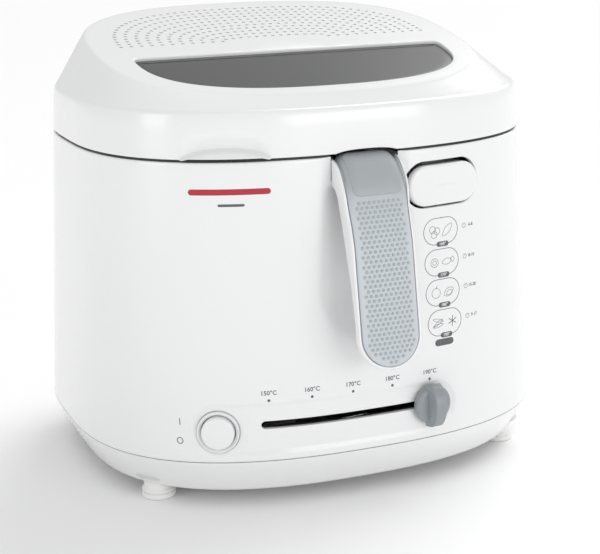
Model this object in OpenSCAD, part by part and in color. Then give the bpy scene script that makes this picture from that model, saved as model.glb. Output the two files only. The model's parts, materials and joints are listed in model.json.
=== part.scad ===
// Deep fryer: fixed oil bowl, hinged vented lid with a window, fold-down basket handle.
// Millimetres, +Z up, front towards -Y, standing on the plane z = 0.

/* [Body] */
// Half width of the body at the lid line
body_half_w = 142; // [138:1:146]
// Depth from the outline's centre to the front, at the lid line
body_front = 138.2; // [136:0.1:140]
// Depth from the outline's centre to the back, at the lid line
body_rear = 121.7; // [119:0.1:124]
// Height of the joint between the base cover and the body
base_z = 31.8; // [30:0.1:33]
// Height of the joint between the body and the lid
lid_z = 207.6; // [206:0.1:209]
// Widening of each side per millimetre downwards
side_flare = 0.058; // [0.05:0.001:0.065]
// Widening of the front and back per millimetre downwards
front_flare = 0.027; // [0.02:0.001:0.035]
// Wall thickness of the plastic shells
wall = 2.6; // [2.2:0.1:3]

/* [Lid] */
// Height of the lid's flat top at the outline's centre
top_z = 261.4; // [258:0.1:265]
// Rise of the flat top per millimetre towards the back
top_slope = 0.209; // [0.19:0.001:0.22]
// Height where the lid's upright band turns into its shoulder
shoulder_z = 235; // [232:0.5:238]
// Half width of the window
window_half_w = 102; // [96:1:104]

/* [Handle] */
// Width of the handle's white shell
handle_w = 39; // [36:1:41]
// Width of the grey grip insert
grip_w = 35; // [32:1:36]
// Outer radius of the handle's head about its pivot
head_r = 20.5; // [19:0.1:21]
// Length of the grip below the pivot
grip_len = 99; // [90:1:104]
// Lean of the grip away from the body, in degrees
grip_lean = 9.2; // [7:0.1:11]

/* [Controls] */
// Diameter of the temperature knob
knob_d = 24; // [20:1:28]
// Diameter of the on and off button
power_d = 19.5; // [17:0.5:20]
// Width of the lid release button
release_w = 50; // [44:1:51]

/* [Hidden] */
$fn = 48;
sides = 80;
side_power = 2.464;
end_power = 2.987;
top_side_power = 2.66;
top_end_power = 2.59;
centre_y = 20.6;
lid_gap = 0.5;
cover_z = 11.3;
cover_inset = 13.8;
floor_z = cover_z + wall + 0.2;
top_half_w = 121.6;
top_front = 105.8;
top_rear = 89.3;
top_tilt = atan(top_slope);
window_y = -22;
window_d = 71;
collar_z = 205.6;
bowl_rim_z = 172;
bowl_floor_z = 86;
bowl_half_w = 118;
bowl_front = 98;
bowl_rear = 95;
basket_inset = 7;
basket_rim_z = 165;
basket_floor_z = 98;
pivot = [0, -135.5, 183];
pin_r = 2;
fit = 0.05;
hinge = [0, 125.8, 207.6];
slide_axis = [2.5, 209.3, 53.4];
slide_r = 352;
knob_deg = 5.9;
slot_low_deg = -11.4;
slot_high_deg = 6.9;
rack_r = 330;
rack_z = 70;
pinion_r = 20;
tooth_count = 20;
pinion_deg = -0.4;
power_at = [-91, -126.9, 50.3];
power_deg = -25;
release_at = [50.5, -134.6, 185];
release_deg = 10.4;
latch_y = 11.5;
latch_z = -1;
foot_x = 116;
foot_front_y = -83.8;
foot_rear_y = 68;

// ---- Outlines -------------------------------------------------------------------------------

function half_w(z) = body_half_w + side_flare * (lid_z - z);
function front_d(z) = body_front + front_flare * (lid_z - z);
function rear_d(z) = body_rear + front_flare * (lid_z - z);
function signed_pow(v, p) = v < 0 ? -pow(-v, p) : pow(v, p);

// Closed oval with a different depth in front and behind, as a list of points
function oval(half, front, rear, n = side_power, m = end_power) = [
    for (i = [0:sides - 1])
        let (c = cos(360 * i / sides), s = sin(360 * i / sides))
            [half * signed_pow(c, 2 / n), (s < 0 ? front : rear) * signed_pow(s, 2 / m)]
];

function level(points, z) = [for (p = points) [p.x, p.y, z]];
function body_oval(z, inset) = oval(half_w(z) - inset, front_d(z) - inset, rear_d(z) - inset);
function body_ring(z, inset) = level(body_oval(z, inset), z);
function bowl_oval(inset) = oval(bowl_half_w - inset, bowl_front - inset, bowl_rear - inset);
function bowl_ring(z, inset) = level(bowl_oval(inset), z);

// A ring of the lid's shoulder: out_mix moves it from the band to the edge of the flat top,
// up_mix from the band's height to the tilted plane of the top
function shoulder_ring(out_mix, up_mix, inset) =
    let (
        band = body_oval(shoulder_z, inset),
        flat_top = oval(top_half_w - inset, top_front - inset, top_rear - inset,
                        top_side_power, top_end_power)
    )
    [for (i = [0:sides - 1])
        let (rise = top_z - inset + top_slope * flat_top[i].y - shoulder_z)
            [band[i].x + out_mix * (flat_top[i].x - band[i].x),
             band[i].y + out_mix * (flat_top[i].y - band[i].y),
             shoulder_z + up_mix * rise]
    ];

// Band rings of the lid, with the thumb lip swelling out at the front left
lip_x = -79.5;
lip_half = 24;
lip_out = 4.5;
function lip(x, y) = y > 0 || abs(x - lip_x) > lip_half ? 0 : pow(cos(90 * (x - lip_x) / lip_half), 2);
function band_ring(z, inset, swell) = [
    for (p = body_oval(z, inset))
        let (out = swell * lip_out * lip(p.x, p.y))
            [p.x - out * 0.36, p.y - out * 0.93, z]
];

// Closed skin through a stack of rings, each listed counter-clockwise from above
module loft(rings) {
    n = len(rings[0]);
    last = len(rings) - 1;
    polyhedron(
        points = [for (r = rings) each r],
        faces = concat(
            [[for (i = [0:n - 1]) i]],
            [for (k = [0:last - 1], i = [0:n - 1])
                let (j = (i + 1) % n)
                    each [[k * n + i, (k + 1) * n + i, (k + 1) * n + j],
                          [k * n + i, (k + 1) * n + j, k * n + j]]],
            [[for (i = [n - 1:-1:0]) last * n + i]]
        )
    );
}

// ---- Places ---------------------------------------------------------------------------------

// Everything is drawn about the outline's centre and then set about the frame's origin
module placed() {
    translate([0, centre_y, 0]) children();
}
module at_slider(turn) {
    translate(slide_axis) rotate([0, 0, turn]) children();
}
module at_power() {
    translate(power_at) rotate([0, 0, power_deg]) children();
}
module at_release() {
    translate(release_at) rotate([0, 0, release_deg]) children();
}
module on_top(depth) {
    translate([0, 0, top_z]) rotate([top_tilt, 0, 0]) translate([0, 0, -depth]) children();
}
// Axis along X, centred on x = 0
module bar_x(r, w) {
    rotate([0, 90, 0]) cylinder(r = r, h = w, center = true);
}
// Axis along Y, from y0 to y1
module bar_y(r, y0, y1) {
    translate([0, y1, 0]) rotate([90, 0, 0]) cylinder(r = r, h = y1 - y0);
}
module block(low, high) {
    translate(low) cube(high - low);
}
// Upright stadium cut from y0 to y1, with its centre on the X and Z zero
module stadium_y(w, h, y0, y1) {
    translate([0, y1, 0]) rotate([90, 0, 0]) linear_extrude(y1 - y0) stadium(w, h);
}
module stadium(w, h) {
    square([w - h, h], center = true);
    for (side = [-1, 1]) translate([side * (w - h) / 2, 0]) circle(d = h);
}
// Part of a flat ring about the Z axis; turn 0 points to -Y
module arc_strip(r0, r1, z0, z1, deg0, deg1) {
    translate([0, 0, z0]) rotate([0, 0, deg0 - 90])
        rotate_extrude(angle = deg1 - deg0, $fn = 240) translate([r0, 0]) square([r1 - r0, z1 - z0]);
}
// Compression spring along Z as a swept wire
module coil(r, wire_r, turns, length) {
    steps = 14;
    around = 6;
    count = steps * turns;
    function ring(k) = [
        for (i = [0:around - 1])
            let (q = r + wire_r * cos(360 * i / around), turn = 360 * k / steps)
                [q * cos(turn), q * sin(turn),
                 wire_r + (length - 2 * wire_r) * k / count - wire_r * sin(360 * i / around)]
    ];
    polyhedron(
        points = [for (k = [0:count]) each ring(k)],
        faces = concat(
            [[for (i = [0:around - 1]) i]],
            [for (k = [0:count - 1], i = [0:around - 1])
                let (j = (i + 1) % around)
                    each [[k * around + i, (k + 1) * around + i, (k + 1) * around + j],
                          [k * around + i, (k + 1) * around + j, k * around + j]]],
            [[for (i = [around - 1:-1:0]) count * around + i]]
        )
    );
}

// ---- Body and base --------------------------------------------------------------------------

notch_half = 22.3;
notch_floor = 184;
notch_corner = 11;
slot_half = 12.3;
slot_floor = 172;
recess_r = 58;
recess_depth = 8.5;
recess_bottom = 131;

// Opening in the front wall for the handle's head, with a narrow deep part for the hub
module head_notch() {
    top = lid_z + 20;
    block([-notch_half, -150, notch_floor + notch_corner], [notch_half, -125, top]);
    block([-notch_half + notch_corner, -150, notch_floor], [notch_half - notch_corner, -125, top]);
    for (side = [-1, 1])
        translate([side * (notch_half - notch_corner), 0, notch_floor + notch_corner])
            bar_y(notch_corner, -150, -125);
    block([-slot_half, -150, slot_floor], [slot_half, -125, top]);
}
// Finger hollow in the front wall behind the grip
module finger_hollow(extra) {
    axis_y = -front_d(150) + recess_depth - recess_r;
    translate([0, axis_y, recess_bottom]) {
        cylinder(r = recess_r + extra, h = 100, $fn = 96);
        sphere(r = recess_r + extra, $fn = 96);
    }
}
module body_shell() {
    color("white") placed() difference() {
        union() {
            difference() {
                loft([body_ring(base_z, 0), body_ring(lid_z, 0)]);
                loft([body_ring(base_z - 1, wall), body_ring(lid_z + 1, wall)]);
            }
            intersection() {
                loft([body_ring(60, 0.5), body_ring(lid_z, 0.5)]);
                finger_hollow(wall);
            }
        }
        finger_hollow(0);
        head_notch();
        at_release() stadium_y(release_w + 2.4, 26.4, -12, 16);
        at_power() bar_y(11.3, -8, 8);
        at_power() bar_y(12.8, -8, 0.6);
        at_slider(0) arc_strip(slide_r - 12, slide_r + 8, -2.3, 2.3, slot_low_deg, slot_high_deg);
        block([-47.5, 100, 188], [47.5, 140, lid_z + 1]);
        translate([-60, 0, 48]) bar_y(9.2, 100, 140);
    }
}
function cover_ring(part, inset) =
    body_ring(base_z + (cover_z - base_z) * part, inset + cover_inset * pow(max(part, 0), 1.15));
module base_cover() {
    color("white") placed() difference() {
        loft([cover_ring(1, 0), cover_ring(0.8, 0), cover_ring(0.55, 0), cover_ring(0.3, 0), cover_ring(0, 0)]);
        intersection() {
            loft([cover_ring(0.87, wall), cover_ring(0.55, wall), cover_ring(0.3, wall), cover_ring(-0.1, wall)]);
            translate([0, 0, 100 + cover_z + wall]) cube([400, 400, 200], center = true);
        }
        for (i = [-3:3]) block([-40, 14 * i - 3, 0], [40, 14 * i + 3, 20]);
        for (side = [-1, 1], y = [-50, 45]) translate([side * 96, y, 0]) cylinder(r = 3.4, h = 20);
    }
}
module foot_pads() {
    color("white") placed() for (side = [-1, 1], y = [foot_front_y, foot_rear_y]) translate([side * foot_x, y, 0]) {
        cylinder(r = 10.3, h = 3.4);
        cylinder(r = 9.4, h = 5);
        translate([0, 0, 5]) cylinder(r = 10.3, h = 1.6);
        translate([0, 0, 6.6]) cylinder(r = 8.8, h = cover_z - 6.6);
    }
}
module base_screws() {
    color("silver") placed() for (side = [-1, 1], y = [-50, 45]) translate([side * 96, y, cover_z]) {
        cylinder(r = 3.2, h = 2.4);
        cylinder(r = 1.75, h = 12);
    }
}

// ---- Bowl and heating -----------------------------------------------------------------------

well_half = 24.3;
well_back = -107.4;
module bowl_collar() {
    skin = 2.2;
    top_inset = 16;
    function slope_ring(z, inset) = level(body_oval(lid_z, top_inset + inset), z);
    color("white") placed() difference() {
        union() {
            difference() {
                loft([body_ring(collar_z - skin, wall + 0.3), body_ring(collar_z, wall + 0.3)]);
                loft([slope_ring(collar_z - skin - 1, -1), slope_ring(collar_z + 1, -1)]);
            }
            difference() {
                loft([bowl_ring(bowl_rim_z + 0.4, -6), slope_ring(collar_z, -1.2)]);
                loft([bowl_ring(bowl_rim_z - 0.2, -3), slope_ring(collar_z + 0.2, 1.2)]);
            }
        }
        block([-well_half - 0.3, -150, 160], [well_half + 0.3, well_back + 0.3, 210]);
        block([-slot_half, -112, 174], [slot_half, -90, 210]);
        finger_hollow(wall + 0.2);
        block([-48, 106.5, 180], [48, 140, 210]);
        at_release() translate([0, 0, -release_at.z]) block([-12, 6, 190], [12, 22, 215]);
    }
}
module handle_well() {
    color("white") placed() difference() {
        block([-well_half, -134, 168.5], [well_half, well_back, collar_z]);
        block([-22.3, -140, 171], [22.3, well_back - 2, 220]);
        block([-slot_half, -120, 174.2], [slot_half, -100, 220]);
        finger_hollow(wall + 0.2);
    }
}
module oil_bowl() {
    color("dimgray") placed() difference() {
        union() {
            loft([bowl_ring(bowl_floor_z, 16), bowl_ring(bowl_floor_z + 3, 7), bowl_ring(bowl_floor_z + 14, 2),
                  bowl_ring(bowl_rim_z - 2, 0)]);
            loft([bowl_ring(bowl_rim_z - 2, -6), bowl_ring(bowl_rim_z, -6)]);
        }
        loft([bowl_ring(bowl_floor_z + 2, 17), bowl_ring(bowl_floor_z + 5, 9), bowl_ring(bowl_floor_z + 16, 4),
              bowl_ring(bowl_rim_z + 1, 2)]);
    }
}
element_r = 66;
element_z = 81;
module heating_element() {
    tube_r = 3.3;
    color("gray") placed() translate([0, 0, element_z]) {
        rotate([0, 0, 105]) rotate_extrude(angle = 330, $fn = 96) translate([element_r, 0]) circle(r = tube_r);
        for (turn = [105, 75]) rotate([0, 0, turn]) translate([element_r, 0, -22]) cylinder(r = tube_r, h = 22);
    }
}
module element_clamp() {
    color("silver") placed() difference() {
        union() for (turn = [0, 120, 240]) rotate([0, 0, turn])
            block([-6, -element_r - 9, element_z + 3.5], [6, -element_r + 9, bowl_floor_z - 0.3]);
        cylinder(r = 10, h = 40);
    }
}
module heat_shield() {
    color("silver") placed() difference() {
        translate([0, 0, 70]) linear_extrude(1.2) polygon(oval(112, 76, 88));
        for (turn = [105, 75]) rotate([0, 0, turn]) translate([element_r, 0, 60]) cylinder(r = 6, h = 20);
    }
}
module safety_cutout() {
    color("black") placed() {
        translate([0, 30, 74]) cylinder(r = 8, h = bowl_floor_z - 74.2);
        block([-12, 28.5, 75], [12, 31.5, 77]);
    }
}

// ---- Temperature control --------------------------------------------------------------------

pinion_at = [slide_axis.x + (rack_r - pinion_r) * sin(pinion_deg),
             slide_axis.y - (rack_r - pinion_r) * cos(pinion_deg), rack_z];
rack_pitch_deg = 360 / rack_r;
rack_deg = 19;
// Stub tooth standing on a root circle; it points along +Y
module tooth(length) {
    polygon([[-1.35, -0.4], [1.35, -0.4], [0.75, length], [-0.75, length]]);
}
module thermostat_pinion() {
    color("ivory") placed() translate(pinion_at) {
        translate([0, 0, -3]) linear_extrude(6) {
            circle(r = pinion_r - 1.6, $fn = 96);
            for (i = [0:tooth_count - 1]) rotate([0, 0, pinion_deg + 360 * i / tooth_count])
                translate([0, -pinion_r + 1.6]) rotate([0, 0, 180]) tooth(2.6);
        }
        translate([0, 0, -18]) cylinder(r = 3, h = 18);
    }
}
bracket_z = 61;
module thermostat_body() {
    color("gray") placed() translate([pinion_at.x, pinion_at.y, bracket_z]) difference() {
        union() {
            translate([0, 0, -8]) cylinder(r = 15, h = 8);
            translate([0, 0, -12]) cylinder(r = 9, h = 12);
        }
        translate([0, 0, -11]) cylinder(r = 3 + fit, h = 20);
    }
}
module thermostat_bracket() {
    x = pinion_at.x;
    y = pinion_at.y;
    color("silver") placed() {
        difference() {
            block([x - 24, y - 12, bracket_z], [x + 24, y + 24, bracket_z + 2]);
            translate([x, y, 50]) cylinder(r = 5, h = 20);
        }
        block([x - 24, y + 22.4, floor_z], [x + 24, y + 24, bracket_z]);
    }
}
module slider_carriage() {
    color("ivory") placed() {
        translate([0, 0, rack_z - slide_axis.z]) at_slider(0) {
            arc_strip(rack_r + 1.6, rack_r + 5.4, -4, 4, pinion_deg - 1.8, pinion_deg - 1.8 + rack_deg);
            for (i = [-1:15]) rotate([0, 0, pinion_deg + rack_pitch_deg * (i + 0.5)])
                translate([0, -rack_r - 1.8, -3]) linear_extrude(6) tooth(2.6);
        }
        at_slider(knob_deg) {
            block([-4, -rack_r - 8.6, -1.8], [4, -rack_r - 5.2, rack_z - slide_axis.z + 3]);
            block([-4, -slide_r - 1.4, -1.8], [4, -rack_r - 8, 1.8]);
        }
    }
}
module slider_rail() {
    color("dimgray") placed() translate([0, 0, rack_z - slide_axis.z]) at_slider(0)
        for (side = [-1, 1]) arc_strip(rack_r + 0.5, rack_r + 4.6, side * 5.8 - 1.4, side * 5.8 + 1.4, -18.6, 17.4);
}
module slot_liner() {
    color("black") placed() at_slider(0) difference() {
        arc_strip(slide_r - 6, slide_r - 4.3, -7, 7, -12.4, 7.8);
        arc_strip(slide_r - 8, slide_r, -2.05, 2.05, -11.4, 6.9);
    }
}
module temperature_knob() {
    color("lightslategray") placed() at_slider(knob_deg) {
        bar_y(knob_d / 2, -slide_r - 5.6, -slide_r - 1.4);
        intersection() {
            block([-4.6, -slide_r - 13, -13], [4.6, -slide_r - 5.6, 13]);
            translate([0, -slide_r + 4, 0]) bar_x(17.4, 12);
        }
    }
}

// ---- Switch ---------------------------------------------------------------------------------

module power_bezel() {
    color("white") placed() at_power() difference() {
        union() {
            bar_y(12.6, -1.6, 0.4);
            bar_y(11.1, 0.4, 6);
        }
        bar_y(power_d / 2 + 0.35, -3, 8);
    }
}
module power_button() {
    color("white") placed() at_power() {
        intersection() {
            bar_y(power_d / 2, -4, 5);
            translate([0, 26.4, 0]) sphere(r = 30, $fn = 96);
        }
        bar_y(2.5, 5, 16);
    }
}
module power_spring() {
    color("silver") placed() at_power() translate([0, 5.2, 0]) rotate([-90, 0, 0]) coil(4.2, 0.5, 4, 7.6);
}
module switch_body() {
    color("black") placed() at_power() difference() {
        block([-10, 13, -9], [10, 33, 9]);
        bar_y(2.8, 12, 20);
    }
}

// ---- Lid release ----------------------------------------------------------------------------

module release_button() {
    color("white") placed() at_release() {
        intersection() {
            stadium_y(release_w, 24, -3, 3.2);
            translate([0, 118, 0]) cylinder(r = 120, h = 40, center = true, $fn = 160);
        }
        block([-3, 3, -16], [3, 5.4, -8]);
        block([-3, 3, -16], [3, latch_y - 2.1, -13]);
        for (x = [-16, 16]) translate([x, 0, 0]) bar_y(2, 3, 9);
    }
}
module release_spring() {
    color("silver") placed() at_release() for (x = [-16, 16])
        translate([x, 3.3, 0]) rotate([-90, 0, 0]) coil(3.2, 0.5, 4, latch_y + 2.8);
}
module latch_lever() {
    color("silver") placed() at_release() difference() {
        union() {
            block([-7, latch_y - 1.5, latch_z - 16], [7, latch_y + 1.5, 14]);
            translate([0, latch_y, latch_z]) bar_x(3.4, 14);
            block([-7, latch_y - 1.5, 11], [7, latch_y + 3.2, 14]);
        }
        translate([0, latch_y, latch_z]) bar_x(pin_r + fit, 20);
    }
}
module latch_pin() {
    color("silver") placed() at_release() translate([0, latch_y, latch_z]) bar_x(pin_r, 24);
}
module latch_bracket() {
    color("silver") placed() at_release() difference() {
        union() {
            for (side = [-1, 1]) block([side * 9.8 - 1.8, latch_y - 2.8, latch_z - 6],
                                       [side * 9.8 + 1.8, latch_y + 8, latch_z + 6]);
            block([-20, latch_y + 6.2, -10], [20, latch_y + 8, 6]);
        }
        translate([0, latch_y, latch_z]) bar_x(pin_r, 40);
    }
}
module lid_striker() {
    color("silver") placed() at_release() translate([0, 0, -release_at.z]) {
        block([-6, latch_y + 5, 196], [6, latch_y + 7, 210.7]);
        block([-6, latch_y + 3.8, 194], [6, latch_y + 7, 196]);
        block([-6, latch_y + 3, 208.9], [6, latch_y + 7.2, 210.7]);
    }
}

// ---- Wiring ---------------------------------------------------------------------------------

module terminal_block() {
    color("ivory") placed() difference() {
        block([-84, 84, floor_z], [-44, 98, floor_z + 16]);
        for (i = [0:2]) translate([-76 + 12 * i, 91, floor_z + 6]) cylinder(r = 2.4, h = 20);
    }
}
module cord_gland() {
    color("dimgray") placed() translate([-60, 0, 48]) difference() {
        union() {
            bar_y(9, 108, 125.4);
            bar_y(11.5, 108, 113);
        }
        bar_y(3.6, 100, 140);
    }
}

// ---- Lid ------------------------------------------------------------------------------------

function window_oval(extra) = [
    for (p = oval(window_half_w + extra, (window_d + extra) / cos(top_tilt), 1, 2.5, 2.9))
        if (p.y <= 0.001) [p.x, p.y + (window_y + extra) / cos(top_tilt)]
];
module window_shape(extra) {
    polygon(window_oval(extra));
}
module hinge_bracket() {
    color("dimgray") placed() difference() {
        union() {
            for (side = [-1, 1]) {
                translate([side * 35.5, hinge.y, hinge.z]) bar_x(4.7, 21);
                block([side * 35.5 - 10.5, 112, 189], [side * 35.5 + 10.5, hinge.y, 203]);
                block([side * 35.5 - 10.5, hinge.y - 4.7, 200], [side * 35.5 + 10.5, hinge.y, hinge.z]);
            }
            block([-46, 110, 189], [46, 113, 203]);
        }
        translate(hinge) bar_x(pin_r, 100);
    }
}
module hinge_pin() {
    color("silver") placed() translate(hinge) bar_x(pin_r, 92);
}
module lid_hinge_arm() {
    color("dimgray") placed() difference() {
        union() {
            translate(hinge) bar_x(4.7, 49);
            block([-24.5, 100, hinge.z + 1.5], [24.5, hinge.y, hinge.z + 4.7]);
            block([-24.5, 114, hinge.z + 1.5], [24.5, 117.5, hinge.z + 16]);
        }
        translate(hinge) bar_x(pin_r + fit, 60);
    }
}
panel_z = 210.8;
panel_inset = 3.4;
module lid_shell() {
    outer = [band_ring(lid_z + lid_gap, 0, 1), band_ring(lid_z + 4, 0, 0.55), band_ring(lid_z + 8, 0, 0),
             body_ring(shoulder_z - 11, 0), body_ring(shoulder_z - 4, 0.7), shoulder_ring(0.05, 0.02, 0),
             shoulder_ring(0.16, 0.12, 0), shoulder_ring(0.92, 0.93, 0), shoulder_ring(1, 1, 0)];
    inner = [band_ring(lid_z - 1, wall, 1), band_ring(lid_z + 4, wall, 0.5), body_ring(lid_z + 8, wall),
             body_ring(shoulder_z - 8, wall), shoulder_ring(0.12, 0.05, wall), shoulder_ring(1, 1, wall)];
    color("white") placed() difference() {
        loft(outer);
        loft(inner);
        on_top(20) linear_extrude(60) window_shape(0);
        block([-notch_half, -150, lid_z - 1], [notch_half, -134, lid_z + 6]);
        block([-47.5, 112, lid_z - 1], [47.5, 140, lid_z + 6]);
        for (i = [0:6]) let (w = 168 - 2.4 * i * i) on_top(20) translate([-w / 2, 2 + 9.6 * i, 0]) cube([w, 2.6, 60]);
    }
}
module lid_window() {
    color([0.2, 0.2, 0.22, 0.8]) placed() on_top(8) linear_extrude(3.2) window_shape(4);
}
module window_gasket() {
    color("black") placed() on_top(4.7) linear_extrude(1.8) difference() {
        window_shape(4);
        window_shape(0.6);
    }
}
module filter_cassette() {
    color("silver") placed() on_top(13) linear_extrude(6) difference() {
        polygon([for (p = oval(100, 1, 66, 2.6, 2.6)) if (p.y >= -0.001) [p.x, p.y + 1]]);
        for (i = [0:4]) translate([-70 + 6 * i, 8 + 10 * i]) square([140 - 12 * i, 3]);
    }
}
module lid_inner_panel() {
    color("silver") placed() difference() {
        union() {
            translate([0, 0, panel_z]) linear_extrude(2) polygon(body_oval(panel_z, panel_inset + 2));
            for (side = [-1, 1], y = [-50, 40]) translate([side * 106, y, panel_z]) cylinder(r = 4, h = 24);
            for (x = [-60, 60]) translate([x, -99, panel_z]) cylinder(r = 4, h = 22);
        }
        translate([0, 0, panel_z - 1]) linear_extrude(4) polygon(oval(96, 84, 74));
        for (side = [-1, 1], y = [-50, 40]) translate([side * 106, y, panel_z - 1]) cylinder(r = 1.5, h = 16);
        for (x = [-60, 60]) translate([x, -99, panel_z - 1]) cylinder(r = 1.5, h = 16);
        block([-23.5, -150, 200], [23.5, -124, 220]);
        block([-25, 99.5, 200], [25, 140, 220]);
        block([-48, 112, 200], [48, 140, 220]);
    }
}
module lid_seal() {
    color("dimgray") placed() translate([0, 0, collar_z + 0.6]) linear_extrude(panel_z - collar_z - 0.6) difference() {
        polygon(body_oval(lid_z, 19));
        polygon(body_oval(lid_z, 24));
        translate([-25, 99]) square([50, 30]);
    }
}
module lid_screws() {
    color("silver") placed() {
        for (side = [-1, 1], y = [-50, 40]) translate([side * 106, y, panel_z]) {
            translate([0, 0, -1.8]) cylinder(r = 3, h = 1.8);
            cylinder(r = 1.5, h = 12);
        }
        for (x = [-60, 60]) translate([x, -99, panel_z]) {
            translate([0, 0, -1.8]) cylinder(r = 3, h = 1.8);
            cylinder(r = 1.5, h = 12);
        }
    }
}

// ---- Basket ---------------------------------------------------------------------------------

module basket_mesh() {
    sheet = 1.4;
    color("silver") placed() difference() {
        loft([bowl_ring(basket_floor_z, basket_inset + 13), bowl_ring(basket_floor_z + 3, basket_inset + 6),
              bowl_ring(basket_floor_z + 12, basket_inset + 2), bowl_ring(basket_rim_z, basket_inset)]);
        loft([bowl_ring(basket_floor_z + sheet, basket_inset + 14),
              bowl_ring(basket_floor_z + 3 + sheet, basket_inset + 7.4),
              bowl_ring(basket_floor_z + 12 + sheet, basket_inset + 3.4),
              bowl_ring(basket_rim_z + 1, basket_inset + sheet)]);
    }
}
module basket_rim() {
    color("silver") placed() translate([0, 0, basket_rim_z + 0.1]) linear_extrude(3.4) difference() {
        polygon(bowl_oval(basket_inset - 1.4));
        polygon(bowl_oval(basket_inset + 2));
    }
}
eye_half = 11.3;
eye_gap = 7.4;
module basket_hanger() {
    rim_y = -bowl_front + basket_inset;
    color("silver") placed() difference() {
        union() {
            for (side = [-1, 1]) {
                x = side * (eye_gap + eye_half) / 2;
                w = (eye_half - eye_gap);
                translate([x, pivot.y, pivot.z]) bar_x(4, w);
                block([x - w / 2, pivot.y - 3, 176.2], [x + w / 2, pivot.y + 3, 181]);
                block([x - w / 2, pivot.y, 176.2], [x + w / 2, -108, 179]);
            }
            block([-eye_half, -113, 177], [eye_half, rim_y - 1.5, 179]);
            block([-eye_half, rim_y - 3.4, 150], [eye_half, rim_y - 1.5, 179]);
        }
        translate(pivot) bar_x(pin_r, 40);
    }
}
module handle_pivot_pin() {
    color("silver") placed() translate(pivot) bar_x(pin_r, 2 * eye_half);
}

// ---- Handle ---------------------------------------------------------------------------------

function on_arc(r, deg) = [-r * cos(deg), r * sin(deg)];
// Side view of the handle: straight below the pivot's level, round over the top of the pivot
function side_profile(outer_r, inner_r, back_r, length, high_deg) = concat(
    [[-outer_r, -length]],
    [for (i = [0:24]) on_arc(outer_r, high_deg * i / 24)],
    [for (i = [24:-1:0]) on_arc(inner_r, high_deg * i / 24)],
    [[-back_r, -16], [-back_r, -length]]
);
// The side view cut to the width of the handle, with a round lower end
module handle_plate(outer_r, inner_r, back_r, w, length, high_deg) {
    intersection() {
        rotate([90, 0, 90]) linear_extrude(w + 10, center = true)
            polygon(side_profile(outer_r, inner_r, back_r, length, high_deg));
        rotate([90, 0, 0]) linear_extrude(80, center = true) {
            translate([0, -length + w / 2]) circle(d = w, $fn = 64);
            translate([-w / 2, -length + w / 2]) square([w, length + 40]);
        }
    }
}
// Round strip over the top of the handle, about the pivot
module head_arc(outer_r, inner_r, w, low_deg, high_deg) {
    rotate([0, 90, 0]) translate([0, 0, -w / 2]) rotate([0, 0, -90 - high_deg])
        rotate_extrude(angle = high_deg - low_deg, $fn = 96)
            translate([inner_r, 0]) square([outer_r - inner_r, w]);
}
module at_handle() {
    translate(pivot) rotate([-grip_lean, 0, 0]) children();
}
head_deg = 98;
grip_in = 17.6;
hub_w = 2 * eye_gap - 0.8;
module handle_shell() {
    color("white") placed() at_handle() difference() {
        union() {
            handle_plate(head_r, 14, 9, handle_w, grip_len, head_deg);
            rotate([90, 0, 90]) linear_extrude(hub_w, center = true) {
                circle(6);
                translate([-15.5, -5]) square([15.5, 10]);
            }
        }
        handle_plate(head_r + 3, grip_in, grip_in, grip_w + 0.4, grip_len - 2, head_deg + 9);
        bar_x(pin_r + fit, 30);
    }
}
module handle_grip() {
    color("lightsteelblue") placed() at_handle()
        handle_plate(head_r + 0.5, grip_in + 0.1, grip_in + 0.1, grip_w, grip_len - 2.4, head_deg);
}
slide_gap = 0.3;
module thumb_slide() {
    color("slategray") placed() at_handle()
        head_arc(head_r + 1.9, head_r + 0.5 + slide_gap, 31, 2, head_deg - 14);
}

// ---- Assembly -------------------------------------------------------------------------------

body_shell();
base_cover();
foot_pads();
base_screws();
bowl_collar();
handle_well();
oil_bowl();
heating_element();
element_clamp();
heat_shield();
safety_cutout();
thermostat_body();
thermostat_bracket();
thermostat_pinion();
slider_rail();
slot_liner();
slider_carriage();
temperature_knob();
power_bezel();
power_button();
power_spring();
switch_body();
release_button();
release_spring();
latch_lever();
latch_pin();
latch_bracket();
terminal_block();
cord_gland();
hinge_bracket();
hinge_pin();
lid_hinge_arm();
lid_shell();
lid_window();
window_gasket();
filter_cassette();
lid_inner_panel();
lid_seal();
lid_screws();
lid_striker();
basket_mesh();
basket_rim();
basket_hanger();
handle_pivot_pin();
handle_shell();
handle_grip();
thumb_slide();
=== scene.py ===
"""Deep fryer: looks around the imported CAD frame. +Z up, front towards -Y.

Shapes are in mm, and add() and cutter() turn them into metres. Studio and camera are in metres.
"""
import json
import math

import bmesh
import bpy
import numpy as np
from mathutils import Matrix, Vector


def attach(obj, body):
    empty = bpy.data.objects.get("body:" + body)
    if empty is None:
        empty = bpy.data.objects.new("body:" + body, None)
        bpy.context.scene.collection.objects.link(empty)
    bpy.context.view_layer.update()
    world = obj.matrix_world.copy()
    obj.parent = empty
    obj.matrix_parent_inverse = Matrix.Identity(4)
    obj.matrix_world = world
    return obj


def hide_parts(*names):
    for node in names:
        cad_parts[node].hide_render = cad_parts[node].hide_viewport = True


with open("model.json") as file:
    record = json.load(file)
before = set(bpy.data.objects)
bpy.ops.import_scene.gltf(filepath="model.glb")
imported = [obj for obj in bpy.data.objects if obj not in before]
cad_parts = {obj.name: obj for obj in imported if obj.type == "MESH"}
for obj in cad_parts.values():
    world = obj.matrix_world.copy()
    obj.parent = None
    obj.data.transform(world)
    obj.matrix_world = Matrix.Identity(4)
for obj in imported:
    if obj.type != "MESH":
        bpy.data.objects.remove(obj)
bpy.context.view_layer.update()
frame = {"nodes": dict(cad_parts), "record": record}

MM = 0.001
SHELL, LID, BASKET, HANDLE = "fryer", "lid", "basket", "handle"

# ---- Sizes in mm, most of them the part's own ----

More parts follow.
